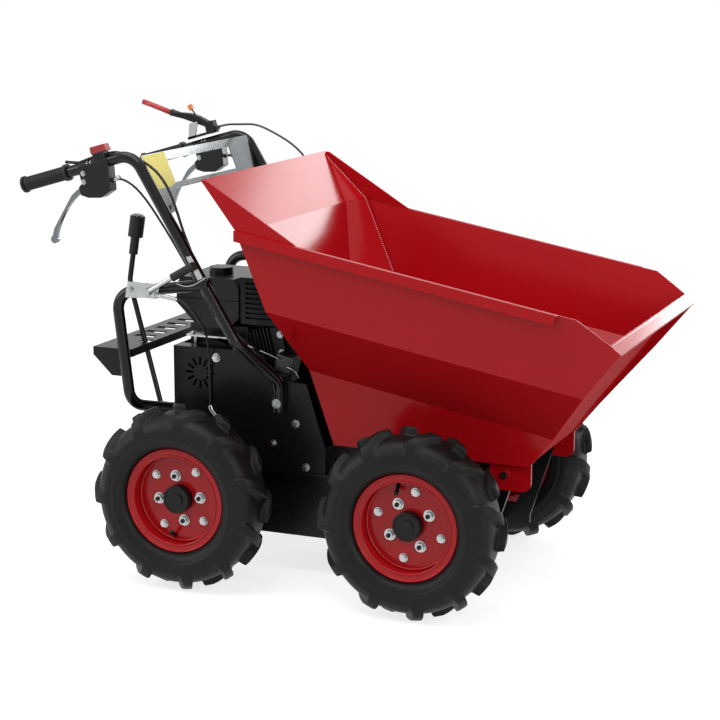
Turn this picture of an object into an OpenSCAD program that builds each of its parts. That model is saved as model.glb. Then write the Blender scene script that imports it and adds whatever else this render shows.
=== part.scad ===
// Walk-behind site dumper: a tipping skip on a four-wheel-drive chassis with an
// open engine behind the skip and a pair of handlebars at the rear.
// +X points to the tipping lip, +Y to the left, +Z up, ground at z = 0.
// Lengths along X are given from the front axle and moved to the centre at the end.

/* [Wheels] */
// Distance between the front and rear axles
wheelbase = 534; // [520:1:560]
// Distance between the mid-planes of the left and right tyres
track = 640; // [630:1:670]
// Radius of the tyre over its lugs
tyre_r = 204.5; // [198:0.5:208]
// Half-width of the tyre
tyre_half_w = 59; // [57:0.5:62]
// Depth of the tread below the lugs
lug_depth = 17; // [12:1:20]
// Number of lugs on each side of a tyre
lug_count = 11; // [10:1:14]
// Radius of the bead seat
bead_r = 101.6; // [98:0.1:104]
// Radius of the rim flange
rim_flange_r = 115; // [112:0.5:118]
// Width of the rim over its flanges
rim_w = 78; // [74:1:82]
// Thickness of the rim sheet
rim_t = 3; // [2:0.5:4]
// Distance of the wheel disc outboard of the tyre's mid-plane
disc_offset = 9; // [5:1:14]
// Radius of the hub cap
hub_cap_r = 31; // [26:1:36]
// Length of the hub cap outboard of the wheel disc
hub_cap_l = 20; // [10:1:24]
// Radius of the hub flange behind the wheel disc
hub_flange_r = 62; // [58:1:70]
// Radius of the half-shafts
shaft_r = 15; // [12:0.5:18]
// Radius of the axle tubes
axle_tube_r = 34; // [30:1:40]

/* [Skip] */
// Sheet thickness of the skip
skip_t = 3; // [2.5:0.5:4]
// Height of the underside of the skip floor
floor_z = 314; // [310:1:320]
// Slope of the rim and of the creases along the side walls
rim_slope = 10.4; // [9:0.1:12]
// Half-width at the rim
rim_half_w = 327; // [320:1:335]
// Half-width at the upper crease
crease_half_w = 300; // [292:1:306]
// Half-width at the lower crease
waist_half_w = 180; // [176:1:190]
// Inward lean of the side walls between lower crease and floor
waist_lean = 0.056; // [0.02:0.002:0.08]
// Height of the rim above the front axle, square to the slope
rim_h = 712; // [700:1:720]
// Height of the upper crease, square to the slope
crease_h = 552; // [540:1:562]
// Height of the lower crease, square to the slope
waist_h = 417; // [410:1:425]
// Depth of the rim's outward fold
rim_fold_h = 22; // [16:1:28]
// Width of the rim's outward fold
rim_fold_w = 8; // [6:1:12]
// Front edge of the floor, ahead of the front axle
floor_front_x = 202; // [196:1:210]
// Rear edge of the floor, behind the front axle
floor_rear_x = 239; // [230:1:245]
// Lip ridge, ahead of the front axle
lip_ridge_x = 412; // [400:1:420]
// Drop of the lip ridge below the line of the rim
lip_drop = 34.3; // [25:0.1:45]
// Forward reach of the folded lip
lip_fold_x = 22; // [16:1:26]
// Drop of the folded lip
lip_fold_z = 18; // [12:1:24]
// Front end of the rim fold, ahead of the front axle
rim_front_x = 345; // [330:1:355]
// Foot of the back-board, behind the front axle
back_foot_x = 391; // [385:1:400]
// Drop of the back-board's foot below the line of the rim
back_foot_drop = 5.6; // [2:0.1:10]
// Rearward lean of the back-board
back_board_x = 84; // [70:1:95]
// Height of the back-board
back_board_z = 108; // [90:1:120]
// Width of the flange that laps the front panel
front_flange_w = 24; // [16:1:30]
// Front tip of the back-board's side gussets, behind the front axle
gusset_tip_x = 257; // [240:1:290]

/* [Tipping pivot] */
// Pivot of the skip, ahead of the front axle
pivot_x = 150; // [140:1:160]
// Height of the pivot
pivot_z = 286; // [282:1:290]
// Radius of the pivot pin
pivot_pin_r = 8; // [6:0.5:10]
// Distance of the skip's tabs from the centre plane
tab_y = 157; // [150:1:162]
// Thickness of the skip's tabs
tab_t = 6; // [5:0.5:8]
// Depth of the tabs below the floor
tab_depth = 62; // [56:1:66]

/* [Chassis] */
// Half-width of the drive case
case_half_w = 150; // [140:1:155]
// Underside of the drive case
case_z = 92; // [85:1:110]
// Top of the drive case
case_top_z = 244; // [240:1:250]
// Front end of the drive case, ahead of the front axle
case_front_x = 50; // [44:1:60]
// Rear end of the drive case, behind the front axle
case_rear_x = 652; // [640:1:670]
// Half-width of the ledge on top of the drive case
ledge_half_w = 172; // [170:1:176]
// Thickness of the ledge
ledge_t = 6; // [4:1:8]
// Half-width over the engine frame's side plates
frame_half_w = 168; // [164:1:170]
// Thickness of the engine frame's plates
frame_t = 4; // [3:0.5:5]
// Rear face of the engine frame, behind the front axle
frame_rear_x = 630; // [620:1:636]
// Top of the engine frame
frame_top_z = 505; // [495:1:512]
// Height of the engine's mounting rails
engine_base_z = 352; // [345:1:360]

/* [Handlebars] */
// Distance of the grip ends behind the front axle
handle_reach = 936; // [915:1:945]
// Half-distance between the handlebar tubes
handle_half_w = 275; // [272:1:282]
// Radius of the handlebar and brace tubes
tube_r = 12.5; // [11:0.5:13]
// Height of the grip ends
grip_end_z = 862; // [850:1:870]
// Distance from the grip ends forward to the bend
grip_run = 273; // [265:1:281]
// Height of the bend, at the meeting of the straight stretches
handle_bend_z = 941; // [935:1:948]
// Knee of the handlebars, behind the front axle
handle_knee_x = 425; // [420:1:430]
// Height of the knee
handle_knee_z = 548; // [540:1:556]
// Length of the grips
grip_l = 118; // [105:1:125]
// Radius of the grips
grip_r = 14.5; // [14:0.5:16]
// Radius of the grips' flanges
grip_flange_r = 18.5; // [17:0.5:20]
// Rear corner of the braces, behind the front axle
brace_x = 712; // [705:1:716]
// Height of the braces' rear corner
brace_z = 636; // [625:1:642]

/* [Hidden] */
$fn = 48;
// Radial play of a running fit
fit = 0.05;
// Least gap between pieces that move past each other
play = 5;
// Overlap of cutters beyond the face they cut
cut = 1;
far = 2000;

axle_z = tyre_r;
// Height of the rim's line above a point along X
function rim_z(x) = rim_h / cos(rim_slope) - x * tan(rim_slope);
lip_ridge_z = rim_z(lip_ridge_x) - lip_drop;
back_foot_z = rim_z(-back_foot_x) - back_foot_drop;
lip_tip_x = lip_ridge_x + lip_fold_x;
centre_x = (lip_tip_x - handle_reach) / 2;
handle_bend_x = handle_reach - grip_run;
wheel_y = track / 2;
flange_y = rim_w / 2;

black = [0.07, 0.07, 0.07];
red = [0.72, 0.05, 0.07];
zinc = [0.72, 0.73, 0.73];

module in_frame() translate([-centre_x, 0, 0]) children();

// Both sides, the left one first
module both_sides() {
    children();
    mirror([0, 1, 0]) children();
}

// An outline in the X-Z plane, extruded along Y between two planes
module side_plate(y0, y1) {
    translate([0, y1, 0]) rotate([90, 0, 0]) linear_extrude(y1 - y0) children();
}

function unit(v) = v / norm(v);
function turn(p, i) = acos(unit(p[i] - p[i - 1]) * unit(p[i + 1] - p[i]));
function tangent(p, i, r) = (i == 0 || i == len(p) - 1) ? 0 : r * tan(turn(p, i) / 2);

// Straight rod from a to b
module rod(a, b, r) {
    d = b - a;
    l = norm(d);
    tilt = acos(d.z / l);
    heading = atan2(d.y, d.x);
    translate(a) rotate([0, tilt, heading]) cylinder(r = r, h = l);
}

// Tube along a list of corners, each rounded with the same bend radius
module bent_tube(p, bend, r) {
    for (i = [0 : len(p) - 2]) {
        d = unit(p[i + 1] - p[i]);
        rod(p[i] + d * tangent(p, i, bend), p[i + 1] - d * tangent(p, i + 1, bend), r);
    }
    for (i = [1 : len(p) - 2]) {
        a = unit(p[i] - p[i - 1]);
        b = unit(p[i + 1] - p[i]);
        n = unit(cross(a, b));
        out = cross(a, n);
        c = p[i] - a * tangent(p, i, bend) - out * bend;
        multmatrix([[out.x, a.x, n.x, c.x], [out.y, a.y, n.y, c.y], [out.z, a.z, n.z, c.z], [0, 0, 0, 1]])
            rotate_extrude(angle = turn(p, i)) translate([bend, 0]) circle(r = r);
    }
}

// Wheels
// Places a wheel that is drawn about the Y axis with its outboard side towards +Y
module at_wheel(front, left) {
    in_frame() translate([front ? 0 : -wheelbase, 0, axle_z])
        mirror([0, left ? 0 : 1, 0]) translate([0, wheel_y, 0]) children();
}

// A section in radius and outboard distance, turned about the axle
module turned() rotate([-90, 0, 0]) rotate_extrude() children();

bead_gap = 1;
lug_w = 22;
lug_skew = 38;
lug_draft = 7;
lug_pitch = 360 / lug_count;
// Angle at the axle under a length on the tread
function tread_angle(l) = l / tyre_r * 180 / PI;
half_lug = tread_angle(lug_w / 2);
draft = tread_angle(lug_draft);
lug_r = tyre_r / cos(half_lug);
tread_base_r = tyre_r - lug_depth;
// Facets of the bead seat stay outside the round rim
facet_out = 1 / cos(180 / (4 * lug_count));
bead_y = flange_y - rim_t;
lug_end_y = 0.85 * tyre_half_w;
mid_r = (bead_r + tyre_r) / 2;

// Rings from the middle of the tread to the bead: distance out, radius on a lug, radius in a groove
tyre_rows = [
    [4, lug_r, tread_base_r], [0.5 * tyre_half_w, lug_r - 4, tread_base_r - 1],
    [lug_end_y, lug_r - 16, tread_base_r - 12], [tyre_half_w, mid_r, mid_r],
    [tyre_half_w - 6, (rim_flange_r + 9) * facet_out, (rim_flange_r + 9) * facet_out],
    [bead_y, (rim_flange_r + bead_gap) * facet_out, (rim_flange_r + bead_gap) * facet_out],
    [bead_y, (bead_r + fit) * facet_out, (bead_r + fit) * facet_out]];

// Four points to a pitch, with the lugs of the two sides half a pitch apart
even_angles = [for (c = [0 : 3]) (c - 0.5) * lug_pitch / 4];
left_angles = [-half_lug, half_lug, half_lug + draft, lug_pitch - half_lug - draft];
right_angles = [half_lug + draft - lug_pitch / 2, lug_pitch / 2 - half_lug - draft,
    lug_pitch / 2 - half_lug, lug_pitch / 2 + half_lug];

function tyre_ring(row, side) = let (
    turn = tread_angle(min(row[0], lug_end_y) * tan(lug_skew)),
    angles = row[1] == row[2] ? even_angles : side > 0 ? left_angles : right_angles
) [for (j = [0 : lug_count - 1]) for (c = [0 : 3]) let (
    a = j * lug_pitch + angles[c] + turn,
    r = (side > 0) == (c < 2) ? row[1] : row[2]
) [r * sin(a), side * row[0], -r * cos(a)]];

module tyre(front, left) {
    last = len(tyre_rows) - 1;
    n = 4 * lug_count;
    m = 2 * last + 3;
    color(black) at_wheel(front, left) polyhedron(
        points = [
            for (i = [last : -1 : 0]) each tyre_ring(tyre_rows[i], 1),
            each tyre_ring([0, tread_base_r, tread_base_r], 1),
            for (i = [0 : last]) each tyre_ring(tyre_rows[i], -1)],
        faces = [for (i = [0 : m - 1]) for (j = [0 : n - 1]) let (
            k = (i + 1) % m * n,
            next = (j + 1) % n
        ) each [[i * n + j, i * n + next, k + next], [i * n + j, k + next, k + j]]]);
}

disc_t = 4;
pilot_r = hub_cap_r - 9;

module rim(front, left) {
    color(red) at_wheel(front, left) turned() {
        translate([bead_r - rim_t, -flange_y]) square([rim_t, rim_w]);
        for (y = [-flange_y, flange_y - rim_t]) translate([bead_r - rim_t, y]) square([rim_flange_r - bead_r + rim_t, rim_t]);
        translate([pilot_r, disc_offset - disc_t / 2]) square([bead_r - rim_t / 2 - pilot_r, disc_t]);
    }
}

hub_flange_t = 8;
shaft_end_y = 100;

module hub(front, left) {
    disc_in = disc_offset - disc_t / 2;
    disc_out = disc_offset + disc_t / 2;
    color(black) at_wheel(front, left) turned() {
        translate([0, shaft_end_y - wheel_y]) square([shaft_r, wheel_y - shaft_end_y + disc_in]);
        translate([0, disc_in - hub_flange_t]) square([hub_flange_r, hub_flange_t]);
        translate([0, disc_in]) square([pilot_r - fit, disc_t]);
        translate([0, disc_out]) square([hub_cap_r, hub_cap_l]);
    }
}

// Chassis
axle_tube_end_y = wheel_y + disc_offset - disc_t / 2 - hub_flange_t - play;
ear_t = 8;
ear_y = case_half_w - ear_t;
ear_r = 19;
ledge_front_x = case_front_x;
strut_w = 32;
strut_foot = [112, case_z + 18];

module chassis_case() {
    color(black) in_frame() {
        difference() {
            union() {
                side_plate(-case_half_w, case_half_w) polygon([
                    [-case_rear_x, case_z + 30], [-case_rear_x + 30, case_z], [case_front_x, case_z],
                    [case_front_x, case_top_z], [-case_rear_x, case_top_z]]);
                side_plate(-ledge_half_w, ledge_half_w) translate([-case_rear_x, case_top_z - ledge_t])
                    square([case_rear_x + ledge_front_x, ledge_t]);
                for (x = [0, -wheelbase]) translate([x, 0, axle_z]) rotate([90, 0, 0])
                    cylinder(r = axle_tube_r, h = 2 * axle_tube_end_y, center = true);
            }
            for (x = [0, -wheelbase]) translate([x, 0, axle_z]) rotate([90, 0, 0])
                cylinder(r = shaft_r + fit, h = far, center = true);
        }
        both_sides() difference() {
            side_plate(ear_y, ear_y + ear_t) {
                polygon([[case_front_x - cut, case_z], [strut_foot.x, case_z], strut_foot,
                    [pivot_x + ear_r, pivot_z], [pivot_x - ear_r, pivot_z], [strut_foot.x - strut_w, case_z + 44],
                    [case_front_x - cut, case_z + 44]]);
                translate([pivot_x, pivot_z]) circle(r = ear_r);
            }
            translate([pivot_x, 0, pivot_z]) rotate([90, 0, 0])
                cylinder(r = pivot_pin_r + fit, h = far, center = true);
        }
    }
}

pin_end_y = tab_y + tab_t + 12;

module pivot_pin() {
    color(zinc) in_frame() translate([pivot_x, 0, pivot_z]) rotate([90, 0, 0])
        cylinder(r = pivot_pin_r, h = 2 * pin_end_y, center = true);
}

// Upper edge of the engine frame keeps clear of the skip's rear wall
wall_lean = (back_foot_x - floor_rear_x) / (back_foot_z - floor_z);
function wall_x(z) = -floor_rear_x - wall_lean * (z - floor_z);
frame_front_x = floor_rear_x + 22;
frame_step_x = 470;
frame_slope_z = 300;
frame_brow_z = 442;
frame_dip_x = 380;
frame_gap = 26;
vent_x = 564;
vent_drop = 57;
vent_count = 12;
vent_r0 = 17;
vent_r1 = 36;
vent_w = 5;
deck_w = 36;
rail_w = 30;
rail_h = 20;
rail_x = [600, 505];

module engine_frame() {
    color(black) in_frame() {
        both_sides() {
            side_plate(frame_half_w - frame_t, frame_half_w) difference() {
                polygon([
                    [-frame_rear_x, case_top_z], [-frame_front_x, case_top_z], [-frame_front_x, frame_slope_z],
                    [wall_x(frame_brow_z) - frame_gap, frame_brow_z], [-frame_dip_x, frame_brow_z + 6],
                    [-frame_step_x, frame_top_z], [-frame_rear_x, frame_top_z]]);
                translate([-vent_x, frame_top_z - vent_drop]) for (i = [0 : vent_count - 1])
                    rotate(i * 360 / vent_count) translate([vent_r0, -vent_w / 2]) square([vent_r1 - vent_r0, vent_w]);
            }
        }
        translate([-frame_rear_x, -frame_half_w, frame_top_z - frame_t])
            cube([frame_rear_x - frame_step_x, deck_w, frame_t]);
        translate([-frame_rear_x, -frame_half_w, case_top_z])
            cube([frame_t, 2 * frame_half_w, frame_top_z - case_top_z]);
        translate([-frame_front_x - frame_t, -frame_half_w, case_top_z])
            cube([frame_t, 2 * frame_half_w, frame_slope_z - case_top_z]);
        for (x = rail_x) translate([-x - rail_w / 2, -frame_half_w, engine_base_z - rail_h])
            cube([rail_w, 2 * frame_half_w, rail_h]);
    }
}

// Engine
engine_x = 552;
crank_z = engine_base_z + 96;
crank_half_w = 95;
block_half_l = 72;
block_h = 192;
cover_r = 66;
cover_t = 28;
crank_r = 12;
crank_l = frame_half_w - frame_t - play - crank_half_w - cover_t;
foot_t = 12;
foot_reach = 24;
boss_r = 8;
boss_n = 8;

module crankcase() {
    color([0.13, 0.13, 0.13]) in_frame() translate([-engine_x, 0, engine_base_z]) {
        translate([-block_half_l, -crank_half_w, 0]) cube([2 * block_half_l, 2 * crank_half_w, block_h]);
        translate([-block_half_l + 4, -crank_half_w - foot_reach, 0])
            cube([2 * block_half_l - 8, 2 * crank_half_w + 2 * foot_reach, foot_t]);
        translate([0, -crank_half_w + cut, crank_z - engine_base_z]) rotate([90, 0, 0]) {
            cylinder(r = cover_r, h = cover_t + cut);
            cylinder(r = crank_r, h = cover_t + crank_l + cut);
            for (i = [0 : boss_n - 1]) rotate(i * 360 / boss_n + 10) translate([cover_r, 0, 0])
                cylinder(r = boss_r, h = cover_t - 8 + cut);
        }
    }
}

// Inclined cylinder with cooling fins, head and rocker cover, drawn along its own axis
head_x = engine_x - block_half_l;
cylinder_lean = 14;
cylinder_z = engine_base_z + 138;
cylinder_y = -38;
fin_n = 7;
fin_t = 3;
fin_pitch = 8.6;
fin_w = 122;
fin_h = 88;
barrel_w = 86;
barrel_h = 62;
head_l = 30;
rocker_l = 26;
rocker_w = 84;
rocker_h = 58;

module cylinder_head() {
    fins_l = fin_n * fin_pitch;
    color([0.2, 0.2, 0.2]) in_frame() intersection() {
        translate([-head_x, cylinder_y, cylinder_z]) rotate([0, -cylinder_lean, 0]) {
            translate([-barrel_h / 2, -barrel_w / 2, -barrel_h / 2])
                cube([barrel_h / 2 + fins_l + head_l, barrel_w, barrel_h]);
            for (i = [0 : fin_n - 1]) translate([6 + i * fin_pitch, -fin_w / 2, -fin_h / 2]) cube([fin_t, fin_w, fin_h]);
            translate([fins_l + 2, -fin_w / 2 + 6, -fin_h / 2 + 4]) cube([head_l - 2, fin_w - 12, fin_h - 8]);
            translate([fins_l + head_l - cut, -rocker_w / 2, -rocker_h / 2]) cube([rocker_l + cut, rocker_w, rocker_h]);
        }
        translate([-head_x, -far, 0]) cube([far, 2 * far, far]);
    }
}

// Two-part moulded tank with a seam flange and a screw cap
tank_z = engine_base_z + block_h;
tank_h = 112;
tank_x0 = 640;
tank_x1 = 486;
tank_y0 = -130;
tank_y1 = 52;
tank_taper = 26;
seam_z = tank_z + 58;
seam_t = 5;
seam_w = 5;
tank_round = 22;
cap_x = 561;
cap_y = -62;
cap_r = 27;
cap_h = 16;

module fuel_tank() {
    mid = (tank_x0 + tank_x1) / 2;
    color(black) in_frame() {
        side_plate(tank_y0, tank_y1) polygon([
            [-tank_x0 + 2 * tank_taper, tank_z], [-tank_x1 - tank_taper, tank_z], [-tank_x1, tank_z + tank_taper],
            [-tank_x1, tank_z + tank_h - tank_round], [-tank_x1 - tank_round / 2, tank_z + tank_h],
            [-tank_x0 + tank_round / 2, tank_z + tank_h], [-tank_x0, tank_z + tank_h - tank_round],
            [-tank_x0, tank_z + 2 * tank_taper]]);
        translate([-tank_x0 - seam_w, tank_y0 - seam_w, seam_z])
            cube([tank_x0 - tank_x1 + 2 * seam_w - 3, tank_y1 - tank_y0 + 2 * seam_w, seam_t]);
        translate([-cap_x, cap_y, tank_z + tank_h - cut]) cylinder(r = cap_r, h = cap_h + cut);
    }
}

// Pressed guard over the silencer, with a column of slots on its near and rear faces
guard_x0 = 476;
guard_x1 = 390;
guard_y0 = -140;
guard_y1 = -20;
guard_z = engine_base_z + 208;
guard_h = 104;
slot_n = 8;
slot_pitch = 11;
slot_h = 5;
slot_depth = 8;
slot_margin = 12;

module muffler_guard() {
    color(black) in_frame() difference() {
        translate([-guard_x0, guard_y0, guard_z]) cube([guard_x0 - guard_x1, guard_y1 - guard_y0, guard_h]);
        for (i = [0 : slot_n - 1]) {
            z = guard_z + slot_margin + i * slot_pitch;
            translate([-guard_x0 + slot_margin, guard_y0 - cut, z])
                cube([guard_x0 - guard_x1 - 2 * slot_margin, slot_depth + cut, slot_h]);
            translate([-guard_x0 - cut, guard_y0 + slot_margin, z])
                cube([slot_depth + cut, guard_y1 - guard_y0 - 2 * slot_margin, slot_h]);
        }
    }
}

cleaner_y1 = 130;
cleaner_gap = 8;
cleaner_lid = 6;

module air_cleaner() {
    y0 = guard_y1 + cleaner_gap;
    color(black) in_frame() {
        translate([-guard_x0 + cleaner_lid, y0 + cleaner_lid, guard_z])
            cube([guard_x0 - guard_x1 - 2 * cleaner_lid, cleaner_y1 - y0 - 2 * cleaner_lid, guard_h]);
        translate([-guard_x0, y0, guard_z + guard_h / 2]) cube([guard_x0 - guard_x1, cleaner_y1 - y0, guard_h / 3]);
    }
}

// Recoil starter on the far side, with a ring of vents and a pull grip
recoil_r = 72;
recoil_room = frame_half_w - frame_t - play - crank_half_w;
recoil_t = 0.6 * recoil_room;
recoil_cap_r = 56;
recoil_slots = 14;

module recoil_cover() {
    color(black) in_frame() translate([-engine_x, crank_half_w, crank_z]) rotate([-90, 0, 0]) difference() {
        union() {
            cylinder(r = recoil_r, h = recoil_t);
            cylinder(r = recoil_cap_r, h = recoil_room);
        }
        for (i = [0 : recoil_slots - 1]) rotate(i * 360 / recoil_slots)
            translate([recoil_cap_r / 2, -3, recoil_room - 10]) cube([recoil_cap_r / 2 - 8, 6, 10 + cut]);
    }
}

// Handlebars
grip_wall = 6;
grip_end = [-handle_reach, handle_half_w, grip_end_z];
handle_foot_x = 366;
handle_foot_z = 395;
function handle_path() = [
    grip_end + grip_dir * (grip_wall + 1),
    [-handle_bend_x, handle_half_w, handle_bend_z],
    [-handle_knee_x, handle_half_w, handle_knee_z],
    [-handle_foot_x, frame_half_w + tube_r, handle_foot_z + 52],
    [-handle_foot_x, frame_half_w + tube_r, handle_foot_z - 16],
];
handle_bend_r = 46;
grip_dir = unit([handle_reach - handle_bend_x, 0, handle_bend_z - grip_end_z]);
grip_lean = atan2(grip_dir.z, grip_dir.x);

foot_lug_w = 30;
foot_lug_t = 8;
foot_lug_h = 62;

module handlebars() {
    color(black) in_frame() both_sides() {
        bent_tube(handle_path(), handle_bend_r, tube_r);
        translate([-handle_foot_x - foot_lug_w / 2, frame_half_w, handle_foot_z - 16])
            cube([foot_lug_w, foot_lug_t, foot_lug_h]);
    }
}

// Along the grip's straight stretch, with x measured forward from the grip's end
module at_grip() translate(grip_end) rotate([0, -grip_lean, 0]) children();

module grips() {
    color([0.05, 0.05, 0.05]) in_frame() both_sides() at_grip() rotate([0, 90, 0]) difference() {
        union() {
            cylinder(r = grip_r, h = grip_l);
            cylinder(r = grip_flange_r, h = 5);
            translate([0, 0, grip_l - 8]) cylinder(r = grip_flange_r, h = 8);
        }
        translate([0, 0, grip_wall]) cylinder(r = tube_r + fit, h = grip_l);
    }
}

housing_x = grip_l + 22;
housing_l = 56;
housing_w = 36;
housing_h = 58;
housing_top = tube_r + 6;

module lever_housings() {
    color(black) in_frame() both_sides() at_grip() difference() {
        translate([housing_x, -housing_w / 2, -housing_h]) cube([housing_l, housing_w, housing_h + housing_top]);
        rotate([0, 90, 0]) cylinder(r = tube_r + fit, h = far, center = true);
    }
}

lever_w = 11;
lever_t = 9;
lever_ball_r = 9;
lever_drop = 44;
lever_end = [39, -133];
lever_sweep = 45;

// Blade that leaves the housing and curves down to a round end
module lever_blade() {
    root = [housing_x, -lever_drop];
    chord = lever_end - root;
    sweep_r = norm(chord) / (2 * sin(lever_sweep / 2));
    chord_dir = atan2(chord.y, chord.x);
    hub_dir = chord_dir + 90 - lever_sweep / 2;
    centre = root + sweep_r * [cos(hub_dir), sin(hub_dir)];
    intersection() {
        translate(centre) difference() {
            circle(r = sweep_r + lever_w / 2);
            circle(r = sweep_r - lever_w / 2);
        }
        polygon([root + [0, 20], root - [0, 20], lever_end + [8, -6], lever_end + [-12, 6]]);
    }
    translate(lever_end) circle(r = lever_ball_r);
}

module hand_levers() {
    color(zinc) in_frame() both_sides() at_grip() side_plate(-lever_t / 2, lever_t / 2) lever_blade();
}

switch_x = housing_x + 34;
switch_size = [34, 20, 20];

module stop_switch() {
    color(red) in_frame() mirror([0, 1, 0]) at_grip()
        translate([switch_x, -switch_size.y / 2, housing_top]) cube(switch_size);
}

tip_sleeve = [108, 0, 96];
tip_end = [48, 0, 134];
tip_pivot = tip_sleeve - unit(tip_end - tip_sleeve) * 112;
tip_lever_r = 7;
tip_base_t = 6;

module tip_lever() {
    color(black) in_frame() at_grip() {
        translate([housing_x, -15, housing_top]) cube([tip_pivot.x + 10 - housing_x, 30, tip_base_t]);
        translate([tip_pivot.x - 12, -10, housing_top]) cube([24, 20, tip_pivot.z - housing_top + 12]);
        rod(tip_pivot, tip_sleeve, tip_lever_r);
    }
}

module tip_lever_sleeve() color(red) in_frame() at_grip() rod(tip_sleeve, tip_end, tip_lever_r);

// Panel between the handlebars
panel_top = [-654, 935];
panel_lean = 21.8;
panel_t = 3;
panel_drop = 85;
panel_window_half_w = 155;
panel_bar_h = 19;
panel_sill_h = 13;
panel_tip_drop = 131;
panel_tip_r = 11;

module cross_panel() {
    half_w = handle_half_w - tube_r - 0.3;
    color(zinc) in_frame() translate([panel_top.x, 0, panel_top.y]) rotate([0, -panel_lean, 0])
        rotate([90, 0, 90]) linear_extrude(panel_t) difference() {
            union() {
                translate([-half_w, -panel_drop]) square([2 * half_w, panel_drop]);
                for (s = [-1, 1]) {
                    polygon([[s * half_w, -panel_drop + cut], [s * panel_window_half_w, -panel_drop + cut],
                        [s * (half_w - 42), -panel_tip_drop], [s * (half_w - 42 + 2 * panel_tip_r), -panel_tip_drop]]);
                    translate([s * (half_w - 42 + panel_tip_r), -panel_tip_drop]) circle(r = panel_tip_r);
                }
            }
            translate([-panel_window_half_w, -panel_drop + panel_sill_h])
                square([2 * panel_window_half_w, panel_drop - panel_bar_h - panel_sill_h]);
        }
}

// Braces from the handlebars down to the rear of the engine frame
brace_foot = [-618, frame_half_w, 360];
brace_knee = [-682, handle_half_w, 388];
brace_top = [-485, handle_half_w, 668];

module braces() {
    color(black) in_frame() both_sides() difference() {
        bent_tube([brace_top, [-brace_x, handle_half_w, brace_z], brace_knee, brace_foot + (brace_foot - brace_knee) * 0.3],
            42, tube_r);
        translate([-far, -far + frame_half_w, -far]) cube([2 * far, far, 2 * far]);
        rod(handle_path()[1], handle_path()[2], tube_r + fit);
    }
}

tray_x0 = 781;
tray_x1 = 686;
tray_z = 508;
tray_t = 3;
tray_lip = 18;
tray_slots = 5;
tray_slot_pitch = 52;
tray_slot_w = 22;
tray_half_w = handle_half_w - tube_r - 0.3;

module rear_tray() {
    color(black) in_frame() {
        difference() {
            translate([-tray_x0, -tray_half_w, tray_z - tray_lip]) cube([tray_x0 - tray_x1, 2 * tray_half_w, tray_lip]);
            translate([-tray_x0 + tray_t, -tray_half_w - cut, tray_z - tray_lip - cut])
                cube([tray_x0 - tray_x1 - 2 * tray_t, 2 * tray_half_w + 2 * cut, tray_lip - tray_t + cut]);
            translate([-716, gear_y - 14, tray_z - far / 2]) cube([26, 28, far]);
            for (i = [0 : tray_slots - 1])
                translate([-tray_x0 + 22, gear_y + 40 + i * tray_slot_pitch, tray_z - tray_lip])
                    cube([tray_x0 - tray_x1 - 44, tray_slot_w, 2 * tray_lip]);
        }
        both_sides() side_plate(tray_half_w - tray_t, tray_half_w)
            polygon([[-tray_x0, tray_z - tray_lip], [-735, tray_z - 62], [-tray_x1 - 14, tray_z - 62],
                [-tray_x1 - 14, tray_z], [-tray_x0, tray_z]]);
    }
}

gear_y = -frame_half_w + 8;
gear_r = 6;
knob_dir = unit([14, 0, 86]);
gear_path = [[-668, gear_y, 363], [-742, gear_y, 640], [-742, gear_y, 640] + knob_dir * 65];

module gear_lever() {
    color(black) in_frame() {
        bent_tube(gear_path, 60, gear_r);
        translate([-frame_rear_x - 46, gear_y - 8, 346]) cube([46, 16, 24]);
    }
}

plate_y = handle_half_w + tube_r + 0.3;
brake_y = -plate_y - 13;
brake_pivot = [-623, brake_y, 646];
brake_end = [-508, brake_y, 712];
brake_grip = brake_pivot + 0.55 * (brake_end - brake_pivot);

module brake_plate() {
    color(zinc) in_frame() side_plate(-plate_y - 4, -plate_y)
        polygon([[-681, 630], [-603, 632], [-595, 664], [-674, 665]]);
}

module brake_lever() {
    color(zinc) in_frame() {
        rod(brake_pivot, brake_grip, 5);
        translate([brake_pivot.x, -plate_y - 4, brake_pivot.z]) rotate([90, 0, 0]) cylinder(r = 9, h = 15);
    }
}

module lever_grips() {
    color([0.05, 0.05, 0.05]) in_frame() {
        rod(brake_grip, brake_end, 9);
        rod(gear_path[2], gear_path[2] + knob_dir * 42, 10);
        rod(gear_path[2] + knob_dir * 40, gear_path[2] + knob_dir * 86, 17);
    }
}

// Control cables, swept along points chosen by hand
cable_r = 2.5;
cable_sides = 8;
housing_mouth = [-735.6, 875.8];
cable_paths = concat(
    [for (s = [-1, 1]) [
        [housing_mouth.x, s * 275, housing_mouth.y], [-715, s * 275, 882], [-690, s * 266, 882],
        [-655, s * 255, 852], [-600, s * 254, 780], [-520, s * 252, 655], [-470, s * 240, 565],
        [-430, s * 195, 520], [-412, s * 158, 490], [-408, s * 150, 420], [-408, s * 150, case_top_z + 0.3]]],
    // Tipping cable that arches over behind the back-board
    [[[-737, 275, 951], [-706, 274, 958], [-674, 272, 960], [-629, 266, 961], [-585, 256, 949], [-528, 246, 923],
        [-490, 240, 893], [-472, 236, 860], [-456, 226, 800], [-434, 204, 740], [-418, 186, 680],
        [-406, 168, 600], [-400, 152, 520], [-398, 145, 440], [-398, 145, case_top_z + 0.3]]],
    // Brake cable down the near side of the engine frame
    [[[-600, -296, 640], [-566, -296, 638], [-540, -293, 630], [-524, -276, 606], [-522, -238, 570],
        [-530, -200, 535], [-536, -180, 495], [-538, -173, 440], [-538, -172, 372]]]);

function ring(c, d, r, sides) = let (
    a = unit(cross(d, abs(d.y) > 0.8 ? [0, 0, 1] : [0, 1, 0])),
    b = cross(d, a)
) [for (k = [0 : sides - 1]) c + r * (a * cos(360 * k / sides) + b * sin(360 * k / sides))];

function heading(p, i) = unit(p[min(i + 1, len(p) - 1)] - p[max(i - 1, 0)]);

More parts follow.
